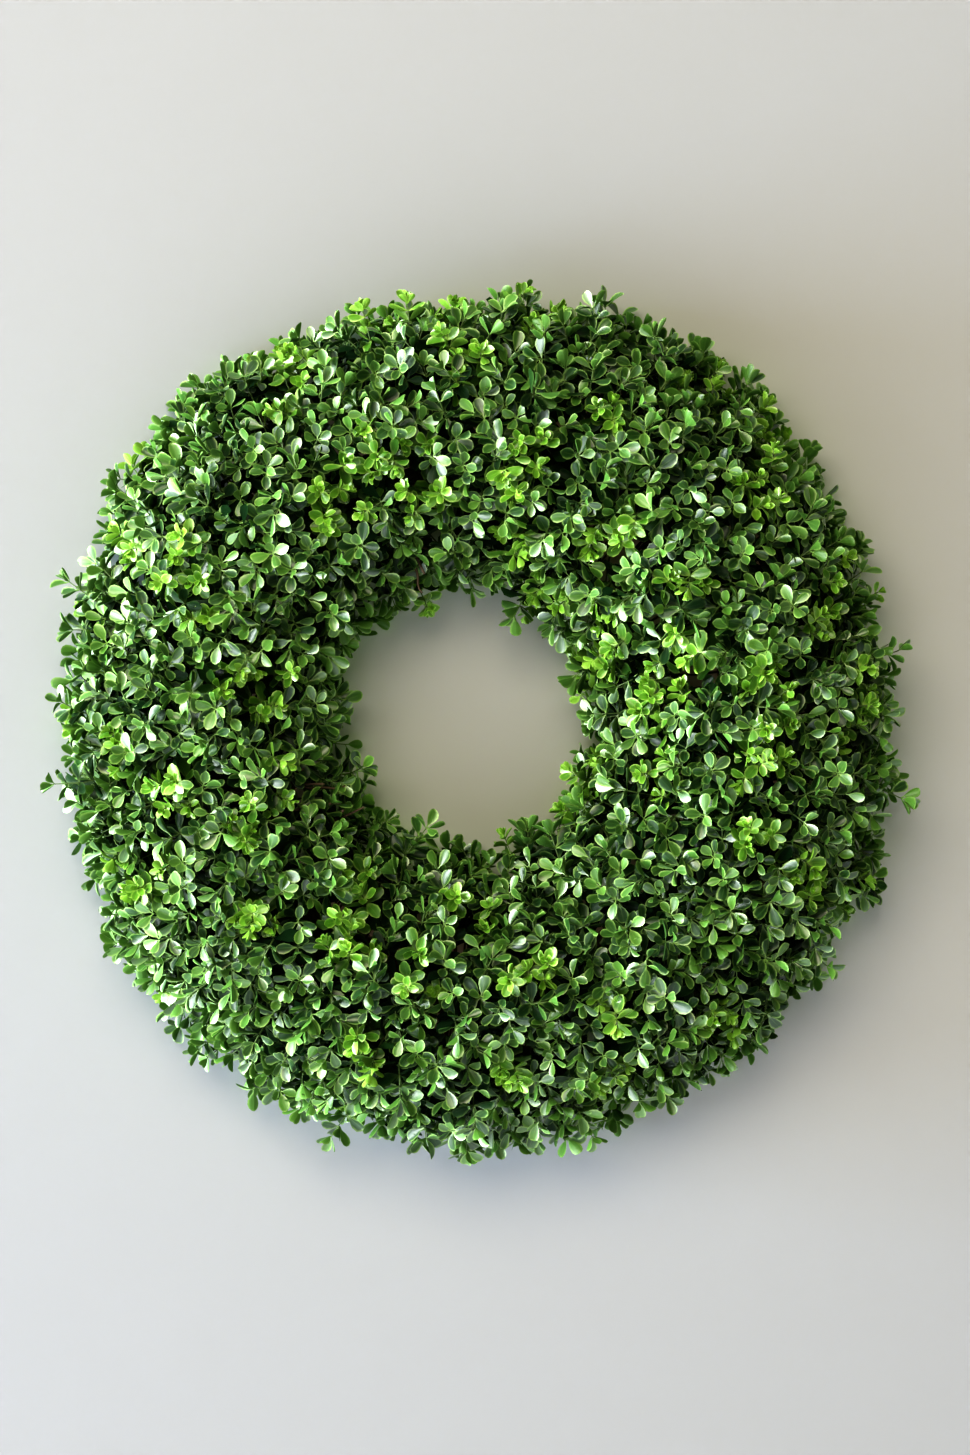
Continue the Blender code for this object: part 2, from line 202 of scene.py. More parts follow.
def bark():
    """Dry vine bark: brown, in long fibres with dark cracks and pale worn ridges."""
    made = Finish("vine_bark", Roughness=0.86)
    grain = made.node("ShaderNodeAttribute", {"attribute_name": "grain"}, None, "Vector")
    fibres = made.node("ShaderNodeTexNoise", None, {"Vector": grain, "Scale": 9.0, "Detail": 6.0})
    cracks = made.node("ShaderNodeTexNoise", None, {"Vector": grain, "Scale": 26.0, "Detail": 3.0})
    brown = made.mix(
        fibres.smooth(0.36, 0.66), (0.052, 0.034, 0.021, 1.0), (0.165, 0.113, 0.070, 1.0)
    )
    colour = made.mix(cracks.smooth(0.55, 0.75) * 0.6, brown, (0.27, 0.215, 0.15, 1.0))
    height = fibres + cracks * 0.6
    relief = {"Strength": 0.6, "Distance": 0.001, "Height": height}
    return made.feed(Base_Color=colour, Normal=made.node("ShaderNodeBump", None, relief))


def vine_shape(number):
    """A round section spun once round the ring's middle, then wound along with the other vines."""
    bm = bmesh.new()
    grain = bm.loops.layers.float_vector.new("grain")
    bmesh.ops.create_circle(bm, segments=VINE_SIDES, radius=VINE_RADIUS)
    bmesh.ops.translate(bm, verts=bm.verts[:], vec=(RING_RADIUS, 0.0, 0.0))
    bmesh.ops.spin(
        bm, geom=bm.edges[:], axis=(0, 1, 0), angle=math.tau, steps=VINE_STEPS, use_merge=True
    )
    draw = random.Random(number)
    phase = math.tau * (number - 1) / len(VINE_NODES)
    knots = [(draw.uniform(0, math.tau), draw.uniform(0, math.tau)) for _ in range(KNOTS)]
    spun = {}
    for vert in bm.verts:
        theta = math.atan2(vert.co.z, vert.co.x) % math.tau
        turn = math.atan2(-vert.co.y, math.hypot(vert.co.x, vert.co.z) - RING_RADIUS)
        spun[vert] = (theta, turn)
    for vert, (theta, turn) in spun.items():
        around = RIDGES_AROUND * Vector((math.cos(turn), math.sin(turn), 0.0))
        ridges = noise.noise(around + Vector((0.0, 0.0, RIDGES_ALONG * theta)))
        along = LUMPS_ALONG * Vector((math.cos(theta), math.sin(theta), 0.0))
        lumps = noise.noise(along + Vector((0.0, 0.0, 9.0 * number)))
        radius = VINE_RADIUS * (1 + BARK_RIDGE * ridges + BARK_LUMP * lumps)
        for knot_theta, knot_turn in knots:
            along = RING_RADIUS * math.remainder(theta - knot_theta, math.tau) / KNOT_LENGTH
            around = KNOT_NARROWNESS * math.remainder(turn - knot_turn, math.tau)
            radius += KNOT_HEIGHT * math.exp(-along * along - around * around)
        middle = place(theta, TWISTS * theta + phase, HELIX_RADIUS)
        vert.co = middle + radius * out_from_vines(theta, turn)
    bmesh.ops.recalc_face_normals(bm, faces=bm.faces[:])
    for face in bm.faces:
        face.smooth = True
        first = spun[face.verts[0]][0]
        for loop in face.loops:
            theta, turn = spun[loop.vert]
            theta = first + math.remainder(theta - first, math.tau)
            loop[grain] = (math.cos(turn), math.sin(turn), GRAIN_ALONG * theta + number)
    return bm


def as_mesh(bm, name):
    """A mesh from a bmesh, to be shown or copied into others."""
    mesh = bpy.data.meshes.new(name)
    bm.to_mesh(mesh)
    bm.free()
    return mesh


def straight_rod(sides, steps):
    """A round rod of unit radius and length on Z, cut across so that it can be bent."""
    bm = bmesh.new()
    bmesh.ops.create_cone(bm, cap_ends=True, segments=sides, radius1=1.0, radius2=1.0, depth=1.0)
    long_edges = [edge for edge in bm.edges if abs(edge.verts[0].co.z - edge.verts[1].co.z) > 0.5]
    bmesh.ops.subdivide_edges(bm, edges=long_edges, cuts=steps - 1)
    for face in bm.faces:
        face.smooth = len(face.verts) == 4
    return as_mesh(bm, "straight_rod")


def bend_rod(bm, rod, path, radius, slot=0):
    """Adds a rod laid along a path. Path and radius are functions of the share of its length."""
    copy = rod.copy()
    side = (path(1.0) - path(0.0)).orthogonal()
    rings = {}
    for vert in copy.vertices:
        share = round(vert.co.z + 0.5, 4)
        if share not in rings:
            along = (path(min(1.0, share + 0.02)) - path(max(0.0, share - 0.02))).normalized()
            first = (side - side.project(along)).normalized()
            rings[share] = (path(share), first * radius(share), along.cross(first) * radius(share))
        middle, first, second = rings[share]
        vert.co = middle + vert.co.x * first + vert.co.y * second
    for face in copy.polygons:
        face.material_index = slot
    bm.from_mesh(copy)
    bpy.data.meshes.remove(copy)


def side_twig(bm, rod, start, end, radii, wander, draw):
    """Adds a twig that wanders a little on its way."""
    aside = Vector([draw.uniform(-1, 1) for _ in range(3)]) * wander * (end - start).length

    def path(share):
        sway = math.sin(math.pi * share) + 0.35 * math.sin(3 * math.pi * share)
        return start.lerp(end, share) + sway * aside
    bend_rod(bm, rod, path, lambda share: radii[0] + (radii[1] - radii[0]) * share)
    return path


vine_bark = bark()
twig_rod = straight_rod(8, 12)
for vine_number, vine_node in enumerate(VINE_NODES, 1):
    vine = vine_shape(vine_number)
    twig_draw = random.Random(vine_number)
    for degrees, alpha_degrees, twig_length in SIDE_TWIGS[vine_node]:
        theta, alpha = math.radians(degrees), math.radians(alpha_degrees)
        root = place(theta, alpha, HELIX_RADIUS)
        tip = place(theta + TWIG_SWING, alpha, twig_length)
        main = side_twig(vine, twig_rod, root, tip, TWIG_RADII, TWIG_WANDER, twig_draw)
        for share, turn in TWIG_FORKS:
            knee = main(share)
            fork = place(theta + turn, alpha + turn, twig_length * (share + FORK_REACH))
            side_twig(vine, twig_rod, knee, fork, FORK_RADII, FORK_WANDER, twig_draw)
    add_piece(f"wound_{vine_node}", vine, [vine_bark], "vine", vine_node)

# The wires that bind the vines. Three lengths of thin brown coated wire are bent tightly round the
# bundle, and the ends of each are twisted together to a short tail.
BINDING_WIRE_RADIUS = 0.0012
BINDING_ANGLES = {"binding_wire_01": 28.0, "binding_wire_02": 152.0, "binding_wire_03": 270.0}
WIRE_SIDES = 10
WIRE_STEPS = 72
ROD_STEPS = 40
TAIL_TURNS = 3
TAIL_LENGTH = 0.013
TAIL_ALPHA = math.radians(-55)


def coated_wire(name):
    """Brown coated wire with a faint mottling in its gloss."""
    made = Finish(name, Base_Color=(0.075, 0.055, 0.036, 1.0))
    where = made.node("ShaderNodeTexCoord", None, None, "Object")
    specks = made.node("ShaderNodeTexNoise", None, {"Vector": where, "Scale": 900.0})
    return made.feed(Roughness=0.3 + specks * 0.25)


def wire_ring(bm, radius, wire_radius, matrix):
    """Adds a closed ring of wire: a circle spun once round, then placed."""
    circle = bmesh.ops.create_circle(bm, segments=WIRE_SIDES, radius=wire_radius)["verts"]
    bmesh.ops.rotate(bm, verts=circle, matrix=Matrix.Rotation(math.pi / 2, 3, "X"))
    bmesh.ops.translate(bm, verts=circle, vec=(radius, 0.0, 0.0))
    edges = list(dict.fromkeys(edge for vert in circle for edge in vert.link_edges))
    bmesh.ops.spin(
        bm, geom=edges, axis=(0, 0, 1), angle=math.tau, steps=WIRE_STEPS, use_merge=True
    )
    bmesh.ops.recalc_face_normals(bm, faces=bm.faces[:])
    bmesh.ops.transform(bm, matrix=matrix, verts=bm.verts[:])
    for face in bm.faces:
        face.smooth = True


def across_ring(theta):
    """Turns a flat ring into the cut across the bundle at this angle, round its middle."""
    along = Vector((-math.sin(theta), 0.0, math.cos(theta)))
    out = Vector((math.cos(theta), 0.0, math.sin(theta)))
    turn = Matrix((out, along.cross(out), along)).transposed().to_4x4()
    return Matrix.Translation(place(theta, 0.0, 0.0)) @ turn


def twist(bm, rod, start, end, gap, turns, wire_radius):
    """Adds two wires twisted round each other along a straight line."""
    along = (end - start).normalized()
    first = along.orthogonal().normalized()
    second = along.cross(first)
    for half_turn in (0.0, math.pi):
        def path(share):
            angle = half_turn + math.tau * turns * share
            around = math.cos(angle) * first + math.sin(angle) * second
            return start.lerp(end, share) + gap * around
        bend_rod(bm, rod, path, lambda share: wire_radius)


wire_coat = coated_wire("binding_wire_coat")
wire_rod = straight_rod(WIRE_SIDES, ROD_STEPS)
for wire_node, degrees in BINDING_ANGLES.items():
    wire_theta = math.radians(degrees)
    low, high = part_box(wire_node)
    ring_size = (high.y - low.y) / 2 - BINDING_WIRE_RADIUS
    wire = bmesh.new()
    wire_ring(wire, ring_size, BINDING_WIRE_RADIUS, across_ring(wire_theta))
    tail_start = place(wire_theta, TAIL_ALPHA, ring_size + 2 * BINDING_WIRE_RADIUS)
    tail_way = Vector((-math.sin(wire_theta), 0.0, math.cos(wire_theta)))
    tail_end = tail_start + TAIL_LENGTH * tail_way
    radius = BINDING_WIRE_RADIUS
    twist(wire, wire_rod, tail_start, tail_end, radius, TAIL_TURNS, radius)
    add_piece(f"tied_{wire_node}", wire, [wire_coat], "binding_wire", wire_node)

# The hanger at the top of the back. One thicker coated wire goes round the bundle, its ends are
# twisted to a neck, and the neck opens to the loop that hangs over a nail or hook in the wall.
HANGER_WIRE_RADIUS = 0.0015
EYE_INNER_RADIUS = 0.008
EYE_DEPTH = 0.0036
NECK_TURNS = 4
NECK_GAP = 0.0012
NECK_WIRE_RADIUS = 0.0013

hanger = bmesh.new()
low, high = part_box("wall_hanger")
tie_bottom = place(math.pi / 2, 0.0, 0.0).z - low.z
wire_ring(hanger, tie_bottom - HANGER_WIRE_RADIUS, HANGER_WIRE_RADIUS, across_ring(math.pi / 2))
eye_radius = EYE_INNER_RADIUS + HANGER_WIRE_RADIUS
eye = bmesh.new()
upright = Matrix.Rotation(math.pi / 2, 4, "X")
eye_middle = Vector((0.0, -EYE_DEPTH, -EYE_INNER_RADIUS))
wire_ring(eye, eye_radius, HANGER_WIRE_RADIUS, Matrix.Translation(eye_middle) @ upright)
eye_mesh = as_mesh(eye, "hanger_eye")
hanger.from_mesh(eye_mesh)
neck_top = eye_middle - Vector((0.0, 0.0, eye_radius))
neck_bottom = Vector((0.0, -EYE_DEPTH, place(math.pi / 2, 0.0, tie_bottom).z))
neck_rod = straight_rod(WIRE_SIDES, 2 * ROD_STEPS)
twist(hanger, neck_rod, neck_top, neck_bottom, NECK_GAP, NECK_TURNS, NECK_WIRE_RADIUS)
add_piece(
    "twisted_wall_hanger", hanger, [coated_wire("hanger_wire_coat")], "hanger_wire", "wall_hanger"
)

# The leaves. They are moulded in soft plastic, in two kinds: grown leaves, long spoons in a darker
# green, and young ones, small ovals in lime. Both have a pale rim, partly their own paler edge and
# partly painted glow of light through the thin edge, a raised midrib and a soft waxy gloss, and are
# duller and paler below.
LEAF_SIZES = {"grown": (0.0176, 0.0094), "young": (0.0134, 0.0078)}
LEAF_THICKNESS = 0.0006
PETIOLE_WIDTH = 0.12
PETIOLE_LENGTH = {"grown": 0.14, "young": 0.08}
# How slowly the blade widens from its petiole, how roundly it closes at the tip, and the share of
# its length at which the closing stops, so that the tip keeps a little width
BASE_TAPER = {"grown": 0.95, "young": 0.80}
TIP_ROUND = 0.5
TIP_STOP = 0.975
TIP_ARC = 0.025
# Edges of a leaf that turn more sharply than this stay crisp
CRISP_EDGE = math.radians(100)
# Strips across a leaf, and the shares of its length where it is cut
LEAF_CUTS = {
    "fine": (2, (0.0, 0.17, 0.33, 0.52, 0.72, 0.89, 1.0)),
    "plain": (2, (0.0, 0.21, 0.42, 0.66, 0.87, 1.0)),
    "coarse": (2, (0.0, 0.28, 0.56, 0.83, 1.0)),
    "inner": (2, (0.0, 0.55, 0.93)),
}
# How far each form is cupped, curled up and swung aside, as shares of its width or length
LEAF_FORMS = (
    (0.45, 0.12, 0.04), (0.62, -0.14, -0.05), (0.35, -0.22, 0.02), (0.75, 0.05, -0.03),
    (-0.35, -0.15, 0.06), (0.55, 0.20, -0.06),
)


def leaf_shape(kind, cuts, cup, curl, swing):
    """A leaf that stands on its petiole at the origin: length on Y, upper face to +Z.

    It is a grid bent to a spoon, with a copy of it below that is welded to it along the rim.
    """
    length, width = LEAF_SIZES[kind]
    across, stations = LEAF_CUTS[cuts]
    along = len(stations) - 1
    bm = bmesh.new()
    uv = bm.loops.layers.uv.new("leaf")
    under = bm.faces.layers.float.new("under")
    bm.faces.layers.float.new("tint")
    bmesh.ops.create_grid(bm, x_segments=across, y_segments=along, size=0.5)
    spots = {
        vert: (2 * vert.co.x, stations[round((vert.co.y + 0.5) * along)]) for vert in bm.verts
    }
    for face in bm.faces:
        face.smooth = True
        for loop in face.loops:
            x, y = spots[loop.vert]
            loop[uv].uv = (x / 2 + 0.5, y)
    rim = [vert for vert in bm.verts if vert.is_boundary]
    inside = [vert for vert in bm.verts if not vert.is_boundary]
    taper = BASE_TAPER[kind]
    widest = taper / (taper + TIP_ROUND)
    full = widest**taper * (1 - widest) ** TIP_ROUND
    petiole = PETIOLE_LENGTH[kind]
    for vert, (x, y) in spots.items():
        blade = max(0.0, min(TIP_STOP, (y - petiole) / (1 - petiole)))
        outline = blade**taper * (1 - blade) ** TIP_ROUND / full
        half = width / 2 * max(PETIOLE_WIDTH, outline)
        reach_back = TIP_ARC * x * x * y**8
        lift = cup * half * abs(x) ** 1.5 + curl * length * y * y
        vert.co = (half * x + swing * length * y * y, length * (y - reach_back), lift)
    copied = bmesh.ops.duplicate(bm, geom=bm.faces[:])
    below = [item for item in copied["geom"] if isinstance(item, bmesh.types.BMFace)]
    bmesh.ops.reverse_faces(bm, faces=below)
    for face in below:
        face[under] = 1.0
    twins = [copied["vert_map"][vert] for vert in inside]
    bmesh.ops.translate(bm, verts=twins, vec=(0.0, 0.0, -LEAF_THICKNESS))
    bmesh.ops.remove_doubles(bm, verts=rim + [copied["vert_map"][vert] for vert in rim], dist=1e-6)
    for edge in bm.edges:
        edge.smooth = edge.calc_face_angle(0.0) < CRISP_EDGE
    return as_mesh(bm, f"{kind}_{cuts}_leaf")


def leaf_plastic(name, deep, bright, rim, below, shade_colour):
    """Moulded leaf: each leaf's own green, painted shade on leaves deep in the wreath, a pale rim
    that is partly painted edge glow, a pale midrib, faint side veins.
    """
    made = Finish(name, Specular_IOR_Level=0.2, Coat_Roughness=0.35, Coat_IOR=1.93)
    where = made.node("ShaderNodeUVMap", {"uv_map": "leaf"})
    split = made.node("ShaderNodeSeparateXYZ", None, {"Vector": where})
    u, v = split, Signal(made, split.socket.node.outputs["Y"])
    # tint: each leaf's own tone, less the painted shade of leaves that sit deep in the wreath
    tint = made.node("ShaderNodeAttribute", {"attribute_name": "tint"}, None, "Fac")
    under = made.node("ShaderNodeAttribute", {"attribute_name": "under"}, None, "Fac")
    space = made.node("ShaderNodeTexCoord", None, None, "Object")
    cloud = made.node("ShaderNodeTexNoise", None, {"Vector": space, "Scale": 160.0, "Detail": 2.0})
    from_midrib = abs(2 * u - 1)
    body = made.mix(tint + (cloud - 0.5) * 0.35, deep, bright)
    body = made.mix((1 - from_midrib.smooth(0.0, 0.14)) * (1 - v) * 0.35, body, rim)
    # The pale rim: partly the leaf's own paler edge, partly painted glow of light through the thin
    # edge
    edge = from_midrib.smooth(0.58, 1.0)
    ends = edge.math("MAXIMUM", v.smooth(0.90, 1.0), 1 - v.smooth(0.10, 0.36))
    body = made.mix(edge.math("MAXIMUM", edge, ends) * 0.72, body, rim)
    body = made.mix(under * 0.6, body, below)
    # 1 on leaves near the tips, 0 on those deep in the wreath, which get the painted shade colour,
    # no coat and a duller surface
    unshaded = tint.smooth(-1.3, 0.1)
    colour = made.mix(unshaded, shade_colour, body)
    slant = v * 52 - from_midrib * 16
    height = slant.math("SINE", slant) * 0.25 - from_midrib.smooth(0.0, 0.2)
    relief = {"Strength": 0.25, "Distance": 0.0004, "Height": height}
    return made.feed(
        Base_Color=colour,
        Roughness=0.9 - unshaded * 0.42 + under * 0.1 + (cloud - 0.5) * 0.2,
        Coat_Weight=unshaded * (1 - under * 0.7),
        Normal=made.node("ShaderNodeBump", None, relief),
    )


def stem_plastic():
    """Moulded stem: brown where it leaves the vines, then green."""
    made = Finish("moulded_stem", Roughness=0.5)
    grown = made.node("ShaderNodeAttribute", {"attribute_name": "tint"}, None, "Fac")
    space = made.node("ShaderNodeTexCoord", None, None, "Object")
    mottle = made.node("ShaderNodeTexNoise", None, {"Vector": space, "Scale": 220.0})
    along = grown.smooth(0.15, 0.8)
    green = made.mix(mottle, (0.045, 0.085, 0.020, 1.0), (0.13, 0.19, 0.055, 1.0))
    brown = made.mix(mottle, (0.060, 0.038, 0.020, 1.0), (0.16, 0.105, 0.055, 1.0))
    return made.feed(Base_Color=made.mix(along, brown, green))


# Colours of each: deep and bright own greens, pale rim (partly painted edge glow), underside, and
# last the painted shade of leaves deep in the wreath
leaf_finishes = {
    "grown": leaf_plastic(
        "grown_leaf",
        (0.016, 0.069, 0.009, 1.0), (0.110, 0.252, 0.034, 1.0),
        (0.375, 0.560, 0.155, 1.0), (0.086, 0.188, 0.034, 1.0), (0.001, 0.017, 0.001, 1.0),
    ),
    "young": leaf_plastic(
        "young_leaf",
        (0.092, 0.250, 0.012, 1.0), (0.235, 0.460, 0.034, 1.0),
        (0.500, 0.715, 0.160, 1.0), (0.215, 0.380, 0.054, 1.0), (0.005, 0.026, 0.001, 1.0),
    ),
}
stem_finish = stem_plastic()
leaves = {
    (kind, cuts): [leaf_shape(kind, cuts, *form) for form in LEAF_FORMS]
    for kind in LEAF_SIZES
    for cuts in LEAF_CUTS
}

# The sprays. Each is one moulding: a stem that is stuck between the vines, its side stems, and a
# whorl of leaves at every tip with more whorls below it. The sprays are set in bunches all round
# the front and sides of the base ring, mostly grown ones, with young ones between them.
OUTER_RADIUS = 0.383
OUTER_WAVES = ((1, 0.0055, 132.0), (2, 0.0055, -174.0), (4, 0.0065, -171.0), (5, 0.0033, -40.0))
HOLE_RADIUS = 0.1030
HOLE_WAVES = ((1, 0.0175, 165.0), (2, 0.0057, -145.0))
FRONT_REACH = 0.138
ROWS = (
    ("outer", -11.0, 39.5, 43.3, "yGGyGyGyGGGyGGGG"),
    ("front_outer", 39.5, 90.0, -6.4, "yGGGyGyGyGyGyG"),
    ("front_inner", 90.0, 140.5, -20.6, "yGyGyGyGyGG"),
    ("inner", 140.5, 191.0, 309.0, "yGyGGGGG"),
)
YOUNG_SHARE = 0.5
SPRIG_SPACING = 0.0250
SITE_JITTER = 0.34
SITE_ALPHAS = (-13.0, 193.0)
TIP_DEPTH = 0.001
DEPTH_SPREAD = 0.027
DEPTH_SKEW = 0.6
CLUMP_SIZE = 0.055
CLUMP_DEPTH = 0.010
AXIS_CLUMP = 0.55
AXIS_SPREAD = 0.42
# The stems stand gathered towards the middle of their bunch, and curve from there to their tips
SEAT_DISTANCE = 0.024
SEAT_GATHER = 0.8
STEM_PULLS = (0.45, 0.35)
STEM_RADII = (0.0013, 0.0006)
# What stays free between the wall and the stems, the tips and the leaves
STEM_GAP = 0.0025
TIP_GAP = 0.010
LEAF_GAP = 0.0012
SEED = 11
# Where lime tufts stand out of the front: distance from the ring's middle in mm, and angle
TUFTS = (
    (97, 26), (92, 335), (144, 11), (172, 20), (119, 38), (116, 64), (146, 83), (167, 231),
    (148, 269), (140, 343), (204, 37), (202, 51), (176, 57), (238, 80), (205, 84), (240, 106),
    (197, 107), (245, 123), (208, 123), (182, 170), (212, 171), (176, 200), (216, 204),
    (218, 234), (206, 242), (222, 257), (215, 281), (230, 351), (247, 9), (296, 68), (256, 112),
    (306, 152), (265, 157), (281, 194), (315, 203), (252, 219), (305, 251), (311, 273),
    (281, 295), (258, 338), (258, 356), (345, 5), (322, 17), (351, 23), (329, 41), (360, 43),
    (378, 47), (374, 59), (371, 83), (328, 94), (378, 105), (375, 118), (353, 121), (361, 152),
    (328, 183), (353, 203), (342, 290), (346, 308), (326, 334), (339, 359),
)
TUFT_RADIUS = 0.025
# Sprigs that stray past the rest, at the outline and into the opening, placed in the same way
STRAYS = {
    "grown": (
        (388, 161), (373, 167), (377, 177), (381, 75), (379, 10), (377, 350), (377, 25),
        (381, 268), (393, 250), (389, 229), (387, 59), (374, 325), (389, 147), (394, 130),
        (381, 188), (378, 309), (381, 285), (379, 211), (97, 242), (107, 262), (87, 27), (93, 73),
        (106, 200),
    ),
    "young": ((385, 84), (380, 100), (382, 106), (370, 338), (82, 332), (108, 115)),
}
STRAY_HEIGHT = 0.075
STRAY_HEIGHT_SPREAD = (0.6, 1.5)
STRAY_TIP_LEAF = 0.4
# Tufts at the sides: two of three near the outer side, the third in the hole
BACK_TUFTS = 26
BACK_TUFT_SPREAD = 0.3
OUTER_TUFT_ALPHAS = (-8, 8)
HOLE_TUFT_ALPHA = 184


def waves(mean, terms, theta):
    """A radius at an angle round the wreath: the mean and its slow waves."""
    return mean + sum(
        height * math.cos(count * theta - math.radians(crest)) for count, height, crest in terms
    )


def reach(theta, alpha):
    """How far the leaf tips stand from the middle of the bundle."""
    across = math.cos(alpha)
    if across > 0:
        side = waves(OUTER_RADIUS, OUTER_WAVES, theta) - RING_RADIUS
    else:
        side = RING_RADIUS - waves(HOLE_RADIUS, HOLE_WAVES, theta)
    return side * across**2 + FRONT_REACH * math.sin(alpha) ** 2


def surface(theta, alpha):
    return place(theta, alpha, reach(theta, alpha))


def all_bunches():
    """Every bunch's node, kind and middle, row by row."""
    made = []
    for row, lowest, highest, start, letters in ROWS:
        shares = [YOUNG_SHARE if letter == "y" else 1.0 for letter in letters]
        unit = 360.0 / sum(shares)
        angle = start
        for number, (letter, share) in enumerate(zip(letters, shares), 1):
            kind = "young" if letter == "y" else "grown"
            middle = (math.radians(angle + unit * share / 2), math.radians((lowest + highest) / 2))
            half = (math.radians(unit * share / 2), math.radians((highest - lowest) / 2))
            made.append((f"{row}_{kind}_{number:02d}", kind, middle, half))
            angle += unit * share
    return made


def tuft_middles(draw):
    """The lime tufts' places on the surface: those in front, and some drawn for the sides."""
    middles = []
    for millimetres, degrees in TUFTS:
        theta = math.radians(degrees)
        alpha = math.pi / 2
        for _ in range(8):
            across = (millimetres / 1000 - RING_RADIUS) / reach(theta, alpha)
            alpha = math.acos(max(-0.99, min(0.98, across)))
        middles.append(surface(theta, alpha))
    for number in range(BACK_TUFTS):
        shift = draw.uniform(-BACK_TUFT_SPREAD, BACK_TUFT_SPREAD)
        theta = math.tau * (number + shift) / BACK_TUFTS
        alpha = HOLE_TUFT_ALPHA if number % 3 == 2 else draw.uniform(*OUTER_TUFT_ALPHAS)
        middles.append(surface(theta, math.radians(alpha)))
    return middles


def sprig_sites(draw):
    """Places for the sprig tips all over the foliage, in staggered rings, each a little off."""
    lowest, highest = (math.radians(degrees) for degrees in SITE_ALPHAS)
    step = 0.87 * SPRIG_SPACING / FRONT_REACH
    rings = round((highest - lowest) / step)
    for ring in range(rings + 1):
        alpha = lowest + (highest - lowest) * ring / rings
        circle = math.tau * (RING_RADIUS + FRONT_REACH * math.cos(alpha))
        count = round(circle / SPRIG_SPACING)
        for number in range(count):
            shift = 0.5 * (ring % 2) + draw.uniform(-SITE_JITTER, SITE_JITTER)
            theta = math.tau * (number + shift) / count
            yield theta, alpha + step * draw.uniform(-SITE_JITTER, SITE_JITTER)


def nearest_bunch(bunches, kind, theta, alpha):
    """The bunch of a kind whose piece of the surface is nearest, measured past its edges."""
    best, least = None, 1e9
    for bunch in bunches:
        if bunch[1] == kind:
            (middle_theta, middle_alpha), half = bunch[2], bunch[3]
            along = abs(math.remainder(theta - middle_theta, math.tau)) - half[0]
            across = abs(alpha - middle_alpha) - half[1]
            radius = RING_RADIUS + FRONT_REACH * math.cos(alpha)
            gap = math.hypot(max(0.0, along) * radius, max(0.0, across) * FRONT_REACH)
            if gap < least:
                best, least = bunch, gap
    return best


def stem_path(seat, way, tip, axis):
    """A curve that leaves the seat one way and comes to the tip along the sprig's axis."""
    length = (tip - seat).length
    second = seat + STEM_PULLS[0] * length * way
    third = tip - STEM_PULLS[1] * length * axis

    def path(share):
        rest = 1.0 - share
        point = (
            rest**3 * seat + 3 * rest**2 * share * second
            + 3 * rest * share**2 * third + share**3 * tip
        )
        point.y = min(point.y, -STEM_GAP)
        return point
    return path, length


def add_leaf(bm, leaf, root, axis, side, tilt, roll, size, tint):
    """Adds one leaf, tilted from the stem and rolled, unless it would reach into the wall."""
    along = math.cos(tilt) * axis + math.sin(tilt) * side
    up = math.sin(tilt) * axis - math.cos(tilt) * side
    up = Matrix.Rotation(roll, 3, along) @ up
    across = along.cross(up)
    matrix = Matrix((across * size, along * size, up * size)).transposed().to_4x4()
    matrix.translation = root
    copy = leaf.copy()
    copy.transform(matrix)
    if max(vert.co.y for vert in copy.vertices) < -LEAF_GAP:
        copy.attributes["tint"].data.foreach_set("value", [tint] * len(copy.polygons))
        bm.from_mesh(copy)
    bpy.data.meshes.remove(copy)


# Whorls of a sprig from its tip down: distance below the tip, leaves, tilt, size, leaf detail
WHORLS = {
    "grown": (
        (0.0, 4, 46, 0.96, "fine"), (0.011, 4, 64, 1.05, "plain"), (0.023, 4, 80, 1.1, "coarse"),
        (0.038, 3, 82, 1.3, "inner"), (0.056, 3, 84, 1.35, "inner"),
    ),
    "young": (
        (0.0, 4, 24, 0.66, "plain"), (0.003, 4, 50, 0.9, "fine"), (0.009, 4, 68, 1.1, "plain"),
        (0.018, 4, 78, 1.25, "coarse"), (0.033, 3, 82, 1.6, "inner"), (0.052, 3, 84, 1.6, "inner"),
    ),
}
# A leaf's tint falls by this much as painted shade deep in the wreath, the full amount from here
# down the sprig
DEEPEST_SHADE = 1.5
FULL_SHADE_BELOW = 0.026
LOWEST_WHORL = 0.12
MISSING_LEAF = 0.25
SPRIG_TINTS = (0.15, 0.85)
SPRIG_SIZES = (0.86, 1.14)
TINT_SPREAD = 0.25
TILT_SPREAD = 18.0
TURN_SPREAD = 18.0
ROLL_SPREAD = 32.0
SIZE_SPREAD = 0.14


